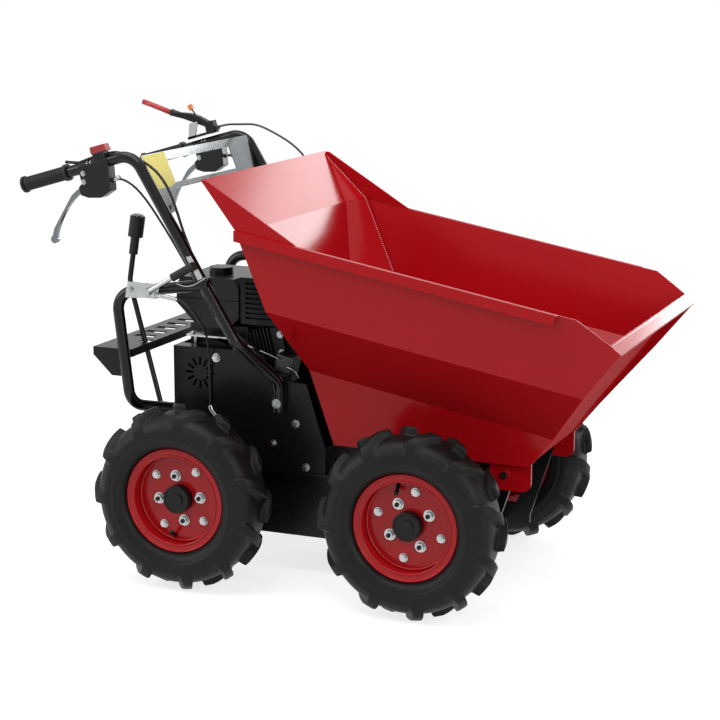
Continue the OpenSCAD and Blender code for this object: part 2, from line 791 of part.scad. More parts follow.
module swept_cable(p) {
    n = len(p);
    s = cable_sides;
    polyhedron(
        points = [for (i = [0 : n - 1]) each ring(p[i], heading(p, i), cable_r, s)],
        faces = [
            [for (k = [0 : s - 1]) k],
            [for (k = [0 : s - 1]) n * s - 1 - k],
            for (i = [0 : n - 2]) for (k = [0 : s - 1]) each [
                [i * s + k, (i + 1) * s + k, (i + 1) * s + (k + 1) % s],
                [i * s + k, (i + 1) * s + (k + 1) % s, i * s + (k + 1) % s]],
        ]);
}

module cables() color(black) in_frame() for (p = cable_paths) swept_cable(p);

// Skip
// Outer line of the side wall, as half-width and height square to the rim's slope
low_h = 230;
wall_out = [[waist_half_w - waist_lean * (waist_h - low_h), low_h], [waist_half_w, waist_h],
    [crease_half_w, crease_h], [rim_half_w, rim_h]];
sheet = [-skip_t, 0.4 * skip_t];
wall_in = [for (p = wall_out) p + sheet];

module swept_along_rim() rotate([0, rim_slope, 0]) rotate([90, 0, 90]) linear_extrude(far, center = true) children();

// Everything between the inner faces of the side walls
module between_walls() {
    swept_along_rim() polygon(concat([for (p = wall_in) p], [[wall_in[3].x, far]], [[-wall_in[3].x, far]],
        [for (i = [3 : -1 : 0]) [-wall_in[i].x, wall_in[i].y]]));
}

floor_front = [floor_front_x, floor_z];
floor_rear = [-floor_rear_x, floor_z];
ridge = [lip_ridge_x, lip_ridge_z];
back_foot = [-back_foot_x, back_foot_z];
front_dir = unit(ridge - floor_front);
front_out = [front_dir.y, -front_dir.x] * skip_t;
front_foot = [skip_t / front_dir.y, 0];
wall_dir = unit(back_foot - floor_rear);
wall_fwd = [wall_dir.y, -wall_dir.x] * skip_t;
wall_foot = [skip_t / wall_dir.y, 0];
rim_rear_x = -back_foot_x - 6;
rim_front = [rim_front_x, rim_z(rim_front_x)];
rim_rear = [rim_rear_x, rim_z(rim_rear_x)];
lip_tip = [lip_tip_x, lip_ridge_z - lip_fold_z];

flange_foot = floor_front + front_foot + front_dir * skip_t;
flange_head = ridge + front_out - front_dir * skip_t;

module skip_side() {
    intersection() {
        swept_along_rim() difference() {
            polygon(concat(wall_out, [for (i = [3 : -1 : 0]) wall_in[i]]));
            translate([0, rim_h]) square([far, far]);
        }
        side_plate(0, far) polygon([floor_rear, floor_front + front_out * 2, lip_tip, ridge, rim_front, rim_rear]);
    }
    intersection() {
        swept_along_rim() polygon(concat(wall_out, [for (i = [3 : -1 : 0]) wall_out[i] - [front_flange_w, 0]]));
        side_plate(0, far) polygon([flange_foot, flange_foot + front_out, flange_head + front_out, flange_head]);
    }
    intersection() {
        swept_along_rim() {
            translate([rim_half_w - cut, rim_h - skip_t]) square([rim_fold_w + cut, skip_t]);
            translate([rim_half_w + rim_fold_w - skip_t, rim_h - rim_fold_h]) square([skip_t, rim_fold_h]);
        }
        side_plate(0, far) polygon([[rim_rear_x, 0], [rim_front_x - 52, 0], [rim_front_x - 52, rim_front.y - rim_fold_h],
            [rim_front_x - 30, rim_front.y + rim_fold_h], [rim_rear_x, far]]);
    }
}

module skip_side_left() color(red) in_frame() skip_side();

module skip_side_right() color(red) in_frame() mirror([0, 1, 0]) skip_side();

module skip_floor() {
    color(red) in_frame() intersection() {
        between_walls();
        side_plate(-far, far) polygon([floor_rear + wall_foot, floor_front,
            floor_front + front_dir * skip_t / front_dir.y, floor_rear + wall_foot + wall_dir * skip_t / wall_dir.y]);
    }
}

module skip_rear_wall() {
    board_top = back_foot + [-back_board_x, back_board_z];
    board_dir = unit(board_top - back_foot);
    board_fwd = [board_dir.y, -board_dir.x] * skip_t;
    color(red) in_frame() {
        intersection() {
            between_walls();
            side_plate(-far, far) polygon([floor_rear, floor_rear + wall_foot, back_foot + wall_fwd,
                board_top + board_fwd, board_top, back_foot]);
        }
        both_sides() side_plate(rim_half_w - skip_t - cut, rim_half_w)
            polygon([[-gusset_tip_x, rim_z(-gusset_tip_x)], [rim_rear_x, rim_z(rim_rear_x)], board_top, board_top + [12, 0]]);
    }
}

module skip_front_panel() {
    color(red) in_frame() {
        intersection() {
            between_walls();
            side_plate(-far, far) polygon([floor_front, floor_front + front_foot, ridge + front_out, ridge]);
        }
        intersection() {
            between_walls();
            side_plate(-far, far) polygon([ridge, ridge + front_out, lip_tip - [0, skip_t], lip_tip]);
        }
    }
}

tab_front_x = floor_front_x + 6;
tab_rear_x = pivot_x - 34;
tab_round = 20;

module skip_tabs() {
    color(red) in_frame() both_sides() difference() {
        side_plate(tab_y, tab_y + tab_t) difference() {
            translate([tab_rear_x, floor_z - tab_depth]) square([tab_front_x - tab_rear_x, tab_depth]);
            for (x = [tab_rear_x, tab_front_x]) difference() {
                translate([x, floor_z - tab_depth]) square(2 * tab_round, center = true);
                translate([x == tab_rear_x ? x + tab_round : x - tab_round, floor_z - tab_depth + tab_round]) circle(r = tab_round);
            }
        }
        translate([pivot_x, 0, pivot_z]) rotate([90, 0, 0]) cylinder(r = pivot_pin_r + fit, h = far, center = true);
    }
}

chassis_case();
engine_frame();
pivot_pin();
crankcase();
cylinder_head();
fuel_tank();
muffler_guard();
air_cleaner();
recoil_cover();
handlebars();
grips();
lever_housings();
hand_levers();
stop_switch();
tip_lever();
tip_lever_sleeve();
cross_panel();
braces();
rear_tray();
gear_lever();
brake_plate();
brake_lever();
lever_grips();
cables();
skip_floor();
skip_side_left();
skip_side_right();
skip_rear_wall();
skip_front_panel();
skip_tabs();
tyre(true, true);  // tyre_fl
tyre(true, false);  // tyre_fr
tyre(false, true);  // tyre_rl
tyre(false, false);  // tyre_rr
rim(true, true);  // rim_fl
rim(true, false);  // rim_fr
rim(false, true);  // rim_rl
rim(false, false);  // rim_rr
hub(true, true);  // hub_fl
hub(true, false);  // hub_fr
hub(false, true);  // hub_rl
hub(false, false);  // hub_rr
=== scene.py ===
"""Looks of a walk-behind site dumper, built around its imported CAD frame."""
import math

import bmesh
import bpy
from mathutils import Matrix, Vector


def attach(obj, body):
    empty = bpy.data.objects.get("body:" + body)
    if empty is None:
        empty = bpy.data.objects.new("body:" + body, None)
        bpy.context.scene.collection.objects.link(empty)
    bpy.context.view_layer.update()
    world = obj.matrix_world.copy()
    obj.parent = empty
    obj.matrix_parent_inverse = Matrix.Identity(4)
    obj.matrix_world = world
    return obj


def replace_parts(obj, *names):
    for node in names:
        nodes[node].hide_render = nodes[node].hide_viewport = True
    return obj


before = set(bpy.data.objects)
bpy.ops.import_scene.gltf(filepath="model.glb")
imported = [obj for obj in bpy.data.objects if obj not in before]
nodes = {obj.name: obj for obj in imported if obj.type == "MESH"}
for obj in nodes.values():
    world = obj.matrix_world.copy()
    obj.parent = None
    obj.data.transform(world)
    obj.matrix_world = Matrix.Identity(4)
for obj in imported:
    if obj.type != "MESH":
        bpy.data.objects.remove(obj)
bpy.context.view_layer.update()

# Studio
# A white paper sweep under a large overhead softbox with two side panels and two behind.
# The paper shows white to the camera and keeps a soft shadow under the wheels.
scene = bpy.context.scene
scene.view_settings.view_transform = "Standard"

camera = bpy.data.objects.new("camera", bpy.data.cameras.new("camera"))
camera.data.sensor_width = 36
camera.data.lens = 98.22
camera.location = (1.6439, -3.9902, 1.3748)
camera.rotation_euler = [math.radians(a) for a in (78.15, -0.11, 22.38)]
scene.collection.objects.link(camera)
scene.camera = camera


def put(tree, kind, inputs=None, **settings):
    """Adds a node with its settings and links, and returns it."""
    made = tree.nodes.new(kind)
    for key, value in settings.items():
        setattr(made, key, value)
    for key, value in (inputs or {}).items():
        if isinstance(value, bpy.types.NodeSocket):
            tree.links.new(value, made.inputs[key])
        else:
            made.inputs[key].default_value = value
    return made


def softbox(name, place, aim, size, power):
    """Rectangular area lamp that faces a point."""
    lamp = bpy.data.lights.new(name, "AREA")
    lamp.shape = "RECTANGLE"
    lamp.size, lamp.size_y = size
    lamp.energy = power
    holder = bpy.data.objects.new(name, lamp)
    holder.location = place
    holder.rotation_euler = (Vector(aim) - Vector(place)).to_track_quat("-Z", "Y").to_euler()
    scene.collection.objects.link(holder)


softbox("softbox_top", (-0.4, -0.8, 3.4), (0.0, 0.0, 0.4), (3.0, 2.4), 74)
softbox("softbox_left", (-3.2, -2.2, 1.9), (0.0, 0.0, 0.5), (1.4, 2.2), 48)
softbox("softbox_right", (3.0, -1.6, 1.8), (0.1, 0.0, 0.5), (1.4, 2.2), 40)
softbox("softbox_back", (1.2, 2.7, 0.98), (-0.1, 0.0, 0.7), (1.1, 0.7), 24)
softbox("softbox_high", (0.5, 2.7, 1.86), (-0.2, 0.0, 0.85), (1.0, 0.4), 8)

world = bpy.data.worlds.new("white_room")
scene.world = world
world.use_nodes = True
tree = world.node_tree
tree.nodes.clear()


def seen_level(tree_of, unseen, seen):
    """Strength that differs between rays that show a background and rays that only carry light."""
    ray = put(tree_of, "ShaderNodeLightPath").outputs
    shown = put(tree_of, "ShaderNodeMath", {0: ray["Is Camera Ray"], 1: ray["Is Glossy Ray"]},
                operation="MAXIMUM")
    shown = put(tree_of, "ShaderNodeMath", {0: shown.outputs[0], 1: ray["Is Transmission Ray"]},
                operation="MAXIMUM")
    level = put(tree_of, "ShaderNodeMapRange", {"Value": shown.outputs[0], "To Min": unseen, "To Max": seen})
    return level.outputs[0]


sky = put(tree, "ShaderNodeBackground", {"Color": (1, 1, 1, 1), "Strength": seen_level(tree, 0.55, 1.0)})
put(tree, "ShaderNodeOutputWorld", {"Surface": sky.outputs[0]})

paper = bpy.data.materials.new("white_paper")
paper.use_nodes = True
tree = paper.node_tree
tree.nodes.clear()
matt = put(tree, "ShaderNodeBsdfDiffuse", {"Color": (0.5, 0.5, 0.5, 1)})
glow = put(tree, "ShaderNodeEmission", {"Color": (1, 1, 1, 1), "Strength": seen_level(tree, 0.0, 0.74)})
both = put(tree, "ShaderNodeAddShader", {0: matt.outputs[0], 1: glow.outputs[0]})
put(tree, "ShaderNodeOutputMaterial", {"Surface": both.outputs[0]})
floor_mesh = bpy.data.meshes.new("paper_floor")
floor_mesh.from_pydata([(-40, -40, 0), (40, -40, 0), (40, 40, 0), (-40, 40, 0)], [], [(0, 1, 2, 3)])
floor_mesh.materials.append(paper)
floor = bpy.data.objects.new("paper_floor", floor_mesh)
scene.collection.objects.link(floor)

# Drive case, axle tubes and engine frame
# Folded and welded steel sheet, powder coated in satin black. The coat has a fine orange
# peel and a faint change of sheen where it lies thicker.


def linear(colour):
    """sRGB hex colour to linear RGBA."""
    parts = [int(colour[i : i + 2], 16) / 255 for i in (1, 3, 5)]
    return [c / 12.92 if c <= 0.04045 else ((c + 0.055) / 1.055) ** 2.4 for c in parts] + [1.0]


def finish(name, tints, rough, cloud_mm, grain_mm, bump, metallic=0.0, **sockets):
    """Surface with two tints in soft clouds, uneven sheen and a fine relief of a given grain."""
    material = bpy.data.materials.new(name)
    material.use_nodes = True
    nodes_of = material.node_tree
    nodes_of.nodes.clear()
    where = put(nodes_of, "ShaderNodeTexCoord").outputs["Object"]
    cloud = put(nodes_of, "ShaderNodeTexNoise", {"Vector": where, "Scale": 1000 / cloud_mm, "Detail": 4.0})
    grain = put(nodes_of, "ShaderNodeTexNoise", {"Vector": where, "Scale": 1000 / grain_mm, "Detail": 3.0})
    mix = put(nodes_of, "ShaderNodeMix", {0: cloud.outputs["Fac"], 6: linear(tints[0]), 7: linear(tints[1])},
              data_type="RGBA")
    sheen = put(nodes_of, "ShaderNodeMapRange", {
        "Value": grain.outputs["Fac"], "From Min": 0.3, "From Max": 0.7, "To Min": rough[0], "To Max": rough[1]})
    relief = put(nodes_of, "ShaderNodeBump", {
        "Height": grain.outputs["Fac"], "Strength": bump, "Distance": grain_mm / 4000})
    shader = put(nodes_of, "ShaderNodeBsdfPrincipled", {
        "Base Color": mix.outputs[2], "Roughness": sheen.outputs[0], "Normal": relief.outputs[0],
        "Metallic": metallic, **sockets})
    put(nodes_of, "ShaderNodeOutputMaterial", {"Surface": shader.outputs[0]})
    return material


def dress(material, *names):
    """Gives CAD nodes a finish in place of their plain colour."""
    for name in names:
        nodes[name].data.materials.clear()
        nodes[name].data.materials.append(material)


# Powder coat: orange peel of about 2 mm, drawn at 4 mm so that it shows
black_powder = finish("black_powder_coat", ("#08080a", "#0e0e10"), (0.26, 0.36), 90, 4, 0.04,
                      **{"Specular IOR Level": 0.2})
dress(black_powder, "chassis_case", "engine_frame")

# Galvanised fasteners: bright zinc with a faint spangle
bright_zinc = finish("bright_zinc", ("#9b9ea0", "#b9bbbb"), (0.16, 0.26), 24, 3, 0.02, metallic=1.0)


def stack_tree(name, parts):
    """Geometry nodes that set a stack of short cylinders on each point, along its direction."""
    made = bpy.data.node_groups.new(name, "GeometryNodeTree")
    made.interface.new_socket("Geometry", in_out="INPUT", socket_type="NodeSocketGeometry")
    for part, _ in parts:
        for size in (" Radius", " Height"):
            made.interface.new_socket(part + size, in_out="INPUT", socket_type="NodeSocketFloat")
    made.interface.new_socket("Finish", in_out="INPUT", socket_type="NodeSocketMaterial")
    made.interface.new_socket("Geometry", in_out="OUTPUT", socket_type="NodeSocketGeometry")
    given = put(made, "NodeGroupInput").outputs
    stack = put(made, "GeometryNodeJoinGeometry")
    base = 0.0
    for part, sides in parts:
        height = given[part + " Height"]
        middle = put(made, "ShaderNodeMath", {0: height, 1: 0.5, 2: base}, operation="MULTIPLY_ADD")
        place = put(made, "ShaderNodeCombineXYZ", {"Z": middle.outputs[0]})
        solid = put(made, "GeometryNodeMeshCylinder", {
            "Vertices": sides, "Radius": given[part + " Radius"], "Depth": height})
        moved = put(made, "GeometryNodeTransform", {
            "Geometry": solid.outputs["Mesh"], "Translation": place.outputs[0]})
        made.links.new(moved.outputs[0], stack.inputs[0])
        base = put(made, "ShaderNodeMath", {0: height, 1: base}, operation="ADD").outputs[0]
    facing = put(made, "GeometryNodeInputNamedAttribute", {"Name": "facing"}, data_type="FLOAT_VECTOR")
    turn = put(made, "FunctionNodeAlignRotationToVector", {"Vector": facing.outputs[0]}, axis="Z")
    points = put(made, "GeometryNodeMeshToPoints", {"Mesh": given["Geometry"]})
    set_out = put(made, "GeometryNodeInstanceOnPoints", {
        "Points": points.outputs[0], "Instance": stack.outputs[0], "Rotation": turn.outputs[0]})
    real = put(made, "GeometryNodeRealizeInstances", {"Geometry": set_out.outputs[0]})
    coat = put(made, "GeometryNodeSetMaterial", {"Geometry": real.outputs[0], "Material": given["Finish"]})
    put(made, "NodeGroupOutput", {"Geometry": coat.outputs[0]})
    return made


hex_fasteners = stack_tree("hex_fasteners", (("Washer", 24), ("Hexagon", 6), ("Stud", 12)))
round_pegs = stack_tree("round_pegs", (("Peg", 24),))


def keep(name, mesh, body):
    """Links a finished mesh as a piece that rides on a body."""
    piece = bpy.data.objects.new(name, mesh)
    scene.collection.objects.link(piece)
    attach(piece, body)
    return piece


def grow(tree_of, points, facings, values):
    """Runs a geometry tree on points and returns the plain mesh that it makes."""
    seeds = bpy.data.meshes.new("seeds")
    seeds.from_pydata([tuple(p) for p in points], [], [])
    facing = seeds.attributes.new("facing", "FLOAT_VECTOR", "POINT")
    facing.data.foreach_set("vector", [c for f in facings for c in f])
    carrier = bpy.data.objects.new("carrier", seeds)
    scene.collection.objects.link(carrier)
    grower = carrier.modifiers.new("grow", "NODES")
    grower.node_group = tree_of
    sockets = {s.name: s.identifier for s in tree_of.interface.items_tree if s.in_out == "INPUT"}
    for label, value in values.items():
        grower[sockets[label]] = value
    graph = bpy.context.evaluated_depsgraph_get()
    mesh = bpy.data.meshes.new_from_object(carrier.evaluated_get(graph))
    bpy.data.objects.remove(carrier)
    return mesh


def fasten(name, body, spots, hexagon, washer, stud, material=None):
    """Hexagon fasteners at (point, direction) spots; each size is (radius, height) in millimetres."""
    values = {"Finish": material or bright_zinc}
    for part, size in (("Hexagon", hexagon), ("Washer", washer), ("Stud", stud)):
        values[part + " Radius"] = size[0] / 1000
        values[part + " Height"] = size[1] / 1000
    mesh = grow(hex_fasteners, [s[0] for s in spots], [s[1] for s in spots], values)
    return keep(name, mesh, body)


def pegs(name, body, spots, radius, height, material):
    """Short round pegs or collars at (point, direction) spots, sizes in millimetres."""
    values = {"Peg Radius": radius / 1000, "Peg Height": height / 1000, "Finish": material}
    return keep(name, grow(round_pegs, [s[0] for s in spots], [s[1] for s in spots], values), body)


def at(x, y, z):
    """Point given in millimetres from the front axle and the ground, as in the part's source."""
    return Vector(((x + 251) / 1000, y / 1000, z / 1000))


# Bolts that hold the engine frame's side plates and the drive guard
plate_bolts = [(-524, 485), (-331, 352), (-387, 302), (-307, 256)]
fasten("frame_bolts", "chassis", [(at(x, s * 168, z), (0, s, 0)) for s in (-1, 1) for x, z in plate_bolts],
       (7.5, 5.5), (10, 1.6), (4.5, 2))

# Wheels
# Pressed steel rims, stove enamelled red, bolted to black hub flanges with four zinc nuts
# and four clamp bolts. The tyres are moulded natural rubber with a satin skin.

# Moulded rubber: a dull black skin; its mould grain of under 1 mm is drawn at 3 mm so that it shows
tyre_rubber = finish("moulded_rubber", ("#0a0a0b", "#121211"), (0.4, 0.54), 60, 3, 0.06,
                     **{"Specular IOR Level": 0.18})
# Stove enamel on pressed steel: a smooth deep red with a clear, even gloss
red_enamel = finish("red_enamel", ("#a00b12", "#aa0f16"), (0.16, 0.21), 140, 5, 0.008,
                    **{"Specular IOR Level": 0.25})
dress(red_enamel, "rim_fl", "rim_fr", "rim_rl", "rim_rr")
dress(black_powder, "hub_fl", "hub_fr", "hub_rl", "hub_rr")

wheel_r = 0.2045
wheel_x = {"f": 0.251, "r": 0.251 - 0.534}
wheel_y = 0.32
disc_face_y = 0.331
nut_angles = {"f": (30, 120, 210, 300), "r": (6, 100, 186, 282)}
clamp_angles = {"f": (80, 163, 260, 343), "r": (57, 140, 238, 321)}
valve_angle = {"f": 107, "r": 261}

lug_pitch = 360 / 11
half_lug = 3.08
lug_draft = 1.96
lug_skew = math.tan(math.radians(38))
lug_end = 50.15
# Tread from its middle to the side: distance out, radius on a lug and in a groove, in millimetres
tread_line = [(0, 204.8, 187.5), (15, 204.2, 187.4), (29.5, 201, 186.3), (40, 196, 182.5),
              (50.15, 188.5, 175), (55.5, 176, 166), (58.4, 164, 159.5), (59, 152, 152)]
tread_steps = [0, 1.3, 2.7, 4, 8, 13, 18, 24, 30, 35, 40, 44, 47, 50, 52, 54, 55.5, 57, 58, 58.6, 59]
# Side wall below the tread, with two low moulded ribs
side_line = [(59, 148), (58.8, 143), (59.5, 141.5), (59.5, 139), (58.2, 137.5), (57, 133), (55, 128),
             (52.5, 124), (49, 120.5), (45, 118), (40, 116.6), (36, 116.3), (36, 101.7)]
# Columns over one lug, in shares of the pitch, closest where the flanks rise
lug_steps = (-0.25, -0.2, -0.154, -0.138, -0.12, -0.104, -0.094, -0.046,
             0, 0.046, 0.094, 0.104, 0.12, 0.138, 0.154, 0.2)


def along(line, out):
    """Straight-line reading of a table of (distance out, values...) at a distance out."""
    for low, high in zip(line, line[1:]):
        if out <= high[0]:
            share = (out - low[0]) / (high[0] - low[0])
            return [a + (b - a) * share for a, b in zip(low[1:], high[1:])]
    return list(line[-1][1:])


def ease(share):
    """Soft step from 0 to 1."""
    share = min(1.0, max(0.0, share))
    return share * share * (3 - 2 * share)


def tyre_mesh(name, centre_x, sign):
    """One closed skin of carcass and lugs; the columns of points follow the slant of the lugs."""
    columns = [(k + 0.5 * half + step) * lug_pitch for k in range(11) for half in (0, 1) for step in lug_steps]
    rows = [(-1, out, radius) for out, radius in reversed(side_line)]
    rows += [(-1, out, None) for out in reversed(tread_steps)]
    rows += [(1, out, None) for out in tread_steps[1:]]
    rows += [(1, out, radius) for out, radius in side_line]
    points = []
    for side, out, fixed in rows:
        turn = math.degrees(min(out, lug_end) * lug_skew / 204.5)
        top, base = along(tread_line, out)
        for column in columns:
            radius = fixed
            if fixed is None:
                shift = 0 if side > 0 else lug_pitch / 2
                off = abs((column - shift + lug_pitch / 2) % lug_pitch - lug_pitch / 2)
                raised = 1 - ease((off - half_lug) / lug_draft)
                radius = base + (top - base) * raised * ease(out / 4)
            angle = math.radians(column + turn)
            points.append((centre_x + radius * math.sin(angle) / 1000, sign * (wheel_y + side * out / 1000),
                           wheel_r - radius * math.cos(angle) / 1000))
    n = len(columns)
    faces = []
    for i in range(len(rows)):
        k = (i + 1) % len(rows)
        for j in range(n):
            faces.append((i * n + j, i * n + (j + 1) % n, k * n + (j + 1) % n, k * n + j))
    mesh = bpy.data.meshes.new(name)
    mesh.from_pydata(points, [], faces)
    shape = bmesh.new()
    shape.from_mesh(mesh)
    bmesh.ops.recalc_face_normals(shape, faces=shape.faces)
    shape.to_mesh(mesh)
    shape.free()
    mesh.shade_smooth()
    mesh.materials.append(tyre_rubber)
    return mesh


def around(centre, radius, degrees, y):
    """Point on a circle in the plane of a wheel."""
    turn = math.radians(degrees)
    return (centre[0] + radius * math.cos(turn), y, centre[1] + radius * math.sin(turn))


def turned(profile, sides, place, axis):
    """Mesh turned from (radius, height) points about an axis that starts at a place."""
    shape = bmesh.new()
    rings = []
    for radius, height in profile:
        rings.append([shape.verts.new((radius * math.cos(2 * math.pi * k / sides),
                                       radius * math.sin(2 * math.pi * k / sides), height)) for k in range(sides)])
    for low, high in zip(rings, rings[1:]):
        for k in range(sides):
            shape.faces.new((low[k], low[(k + 1) % sides], high[(k + 1) % sides], high[k]))
    shape.faces.new(list(reversed(rings[0])))
    shape.faces.new(rings[-1])
    turn = Vector((0, 0, 1)).rotation_difference(Vector(axis)).to_matrix().to_4x4()
    bmesh.ops.transform(shape, matrix=Matrix.Translation(place) @ turn, verts=shape.verts)
    mesh = bpy.data.meshes.new("turned")
    shape.to_mesh(mesh)
    shape.free()
    return mesh


def ring_mesh(centre, radius, wire, sides=72, steps=10):
    """Round wire ring in the plane of a wheel."""
    points, faces = [], []
    for i in range(sides):
        turn = 2 * math.pi * i / sides
        for k in range(steps):
            lift = 2 * math.pi * k / steps
            reach = radius + wire * math.cos(lift)
            points.append(centre + Vector((reach * math.cos(turn), wire * math.sin(lift), reach * math.sin(turn))))
            n, m = (i + 1) % sides, (k + 1) % steps
            faces.append((i * steps + k, i * steps + m, n * steps + m, n * steps + k))
    mesh = bpy.data.meshes.new("ring")
    mesh.from_pydata(points, [], faces)
    mesh.shade_smooth()
    return mesh


valve_profile = [(0.0052, 0.0), (0.0052, 0.006), (0.0042, 0.008), (0.0042, 0.02), (0.0048, 0.021),
                 (0.0048, 0.031), (0.0038, 0.033)]
# Rolled edges of a rim: radius, wire radius and distance out, in millimetres
rim_rolls = (("edge", 113, 3, 358.5), ("bead", 99.5, 2.4, 358.5), ("well", 95.5, 3.6, 332))
for axle, centre_x in wheel_x.items():
    for side, sign in (("l", 1), ("r", -1)):
        wheel = "wheel_" + axle + side
        centre = (centre_x, wheel_r)
        out = (0, sign, 0)
        face = sign * disc_face_y
        nut_spots = [(around(centre, 0.05, a, face), out) for a in nut_angles[axle]]
        clamp_spots = [(around(centre, 0.073, a, face), out) for a in clamp_angles[axle]]
        fasten("wheel_nuts_" + axle + side, wheel, nut_spots, (9.6, 8), (12.5, 2), (6, 0.4))
        pegs("wheel_studs_" + axle + side, wheel, nut_spots, 5, 12.5, black_powder)
        for label, radius, wire, y in rim_rolls:
            mesh = ring_mesh(Vector((centre_x, sign * y / 1000, wheel_r)), radius / 1000, wire / 1000)
            mesh.materials.append(red_enamel)
            keep("rim_" + label + "_" + axle + side, mesh, wheel)
        fasten("clamp_bolts_" + axle + side, wheel, clamp_spots, (7.6, 6), (9.5, 1.6), (3.5, 1))
        cap_face = Vector((centre_x, sign * 0.351, wheel_r))
        pegs("hub_button_" + axle + side, wheel, [(cap_face, out)], 15, 2.5, black_powder)
        mesh = ring_mesh(cap_face, 0.0285, 0.0022)
        mesh.materials.append(black_powder)
        keep("hub_edge_" + axle + side, mesh, wheel)
        root = Vector(around(centre, 0.088, valve_angle[axle], face - sign * 0.004))
        inward = (Vector((centre[0], root.y, centre[1])) - root).normalized()
        stem = turned(valve_profile, 16, root, Vector(out) + 0.5 * inward)
        stem.materials.append(tyre_rubber)
        keep("valve_" + axle + side, stem, wheel)
        tyre = keep("lugged_tyre_" + axle + side, tyre_mesh("lugged_tyre", centre_x, sign), wheel)
        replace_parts(tyre, "tyre_" + axle + side)

# Tipping pivot
# A plain zinc-plated steel pin through the chassis struts and the skip's tabs.
dress(bright_zinc, "pivot_pin")

# Engine
# Small single-cylinder petrol engine: dark die-cast case and finned head, black moulded
# tank, pressed steel guard over the silencer, black recoil cover on the far side.

# Die-cast aluminium under thin black paint: a rough grey-black with a metal glint; sand grain drawn at 3 mm
dark_casting = finish("dark_casting", ("#1d1d1f", "#2b2b2d"), (0.42, 0.62), 20, 3, 0.25, metallic=0.6)
# Moulded polypropylene: an even black with a soft sheen and a fine mould grain, drawn at 3 mm
black_plastic = finish("black_moulding", ("#09090a", "#111112"), (0.26, 0.36), 80, 3, 0.05,
                       **{"Specular IOR Level": 0.25})
dress(dark_casting, "crankcase", "cylinder_head")
dress(black_plastic, "fuel_tank", "air_cleaner", "recoil_cover")
dress(black_powder, "muffler_guard")


def block(name, low, high, body, material, edge=1.5, lean=0.0):
    """Block between two corners with broken edges, leaned about the Y axis through its middle."""
    low, high = Vector(low), Vector(high)
    shape = bmesh.new()
    bmesh.ops.create_cube(shape, size=1.0)
    bmesh.ops.scale(shape, vec=(high - low) / 1000, verts=shape.verts)
    bmesh.ops.bevel(shape, geom=shape.edges[:], offset=edge / 1000, segments=2, affect="EDGES", profile=0.7)
    place = Matrix.Translation(at(*((low + high) / 2))) @ Matrix.Rotation(math.radians(lean), 4, "Y")
    bmesh.ops.transform(shape, matrix=place, verts=shape.verts)
    mesh = bpy.data.meshes.new(name)
    shape.to_mesh(mesh)
    shape.free()
    mesh.materials.append(material)
    return keep(name, mesh, body)


def plate(name, outline, thick, body, material):
    """Flat sheet with a given outline in millimetres, thick to the side that the outline turns about."""
    corners = [at(*p) for p in outline]
    rise = (corners[1] - corners[0]).cross(corners[2] - corners[0]).normalized() * thick / 1000
    shape = bmesh.new()
    low = [shape.verts.new(p) for p in corners]
    high = [shape.verts.new(p + rise) for p in corners]
    shape.faces.new(list(reversed(low)))
    shape.faces.new(high)
    for k in range(len(low)):
        n = (k + 1) % len(low)
        shape.faces.new((low[k], low[n], high[n], high[k]))
    bmesh.ops.recalc_face_normals(shape, faces=shape.faces)
    mesh = bpy.data.meshes.new(name)
    shape.to_mesh(mesh)
    shape.free()
    mesh.materials.append(material)
    return keep(name, mesh, body)


def smooth_path(points, steps):
    """Points on a smooth curve through given ones."""
    ends = [points[0] * 2 - points[1], *points, points[-1] * 2 - points[-2]]
    path = []
    for a, b, c, d in zip(ends, ends[1:], ends[2:], ends[3:]):
        for k in range(steps):
            t = k / steps
            bend, twist = 2 * a - 5 * b + 4 * c - d, 3 * b - a - 3 * c + d
            path.append(0.5 * (2 * b + (c - a) * t + bend * t * t + twist * t ** 3))
    return path + [points[-1]]


def tube_mesh(name, path, radius, sides=12):
    """Closed tube swept along a path without twist."""
    shape = bmesh.new()
    rings = []
    up = Vector((0, 0, 1))
    for i, point in enumerate(path):
        ahead = (path[min(i + 1, len(path) - 1)] - path[max(i - 1, 0)]).normalized()
        across = ahead.cross(up)
        if across.length < 0.2:
            across = ahead.cross(Vector((1, 0, 0)))
        across.normalize()
        up = across.cross(ahead)
        turns = [2 * math.pi * k / sides for k in range(sides)]
        rings.append([shape.verts.new(point + radius * (across * math.cos(a) + up * math.sin(a))) for a in turns])
    for low, high in zip(rings, rings[1:]):
        for k in range(sides):
            shape.faces.new((low[k], low[(k + 1) % sides], high[(k + 1) % sides], high[k]))
    shape.faces.new(list(reversed(rings[0])))
    shape.faces.new(rings[-1])
    bmesh.ops.recalc_face_normals(shape, faces=shape.faces)
    mesh = bpy.data.meshes.new(name)
    shape.to_mesh(mesh)
    shape.free()
    mesh.shade_smooth()
    return mesh


def tube(name, points, radius, body, material, steps=8):
    """Tube through points in millimetres."""
    mesh = tube_mesh(name, smooth_path([at(*q) for q in points], steps), radius / 1000)
    mesh.materials.append(material)
    return keep(name, mesh, body)


# Bare cast alloy: a grainy mid-grey metal; grain of about 1 mm, drawn at 2.5 mm
cast_alloy = finish("cast_alloy", ("#3a3b3c", "#515253"), (0.34, 0.5), 12, 2.5, 0.2, metallic=1.0)

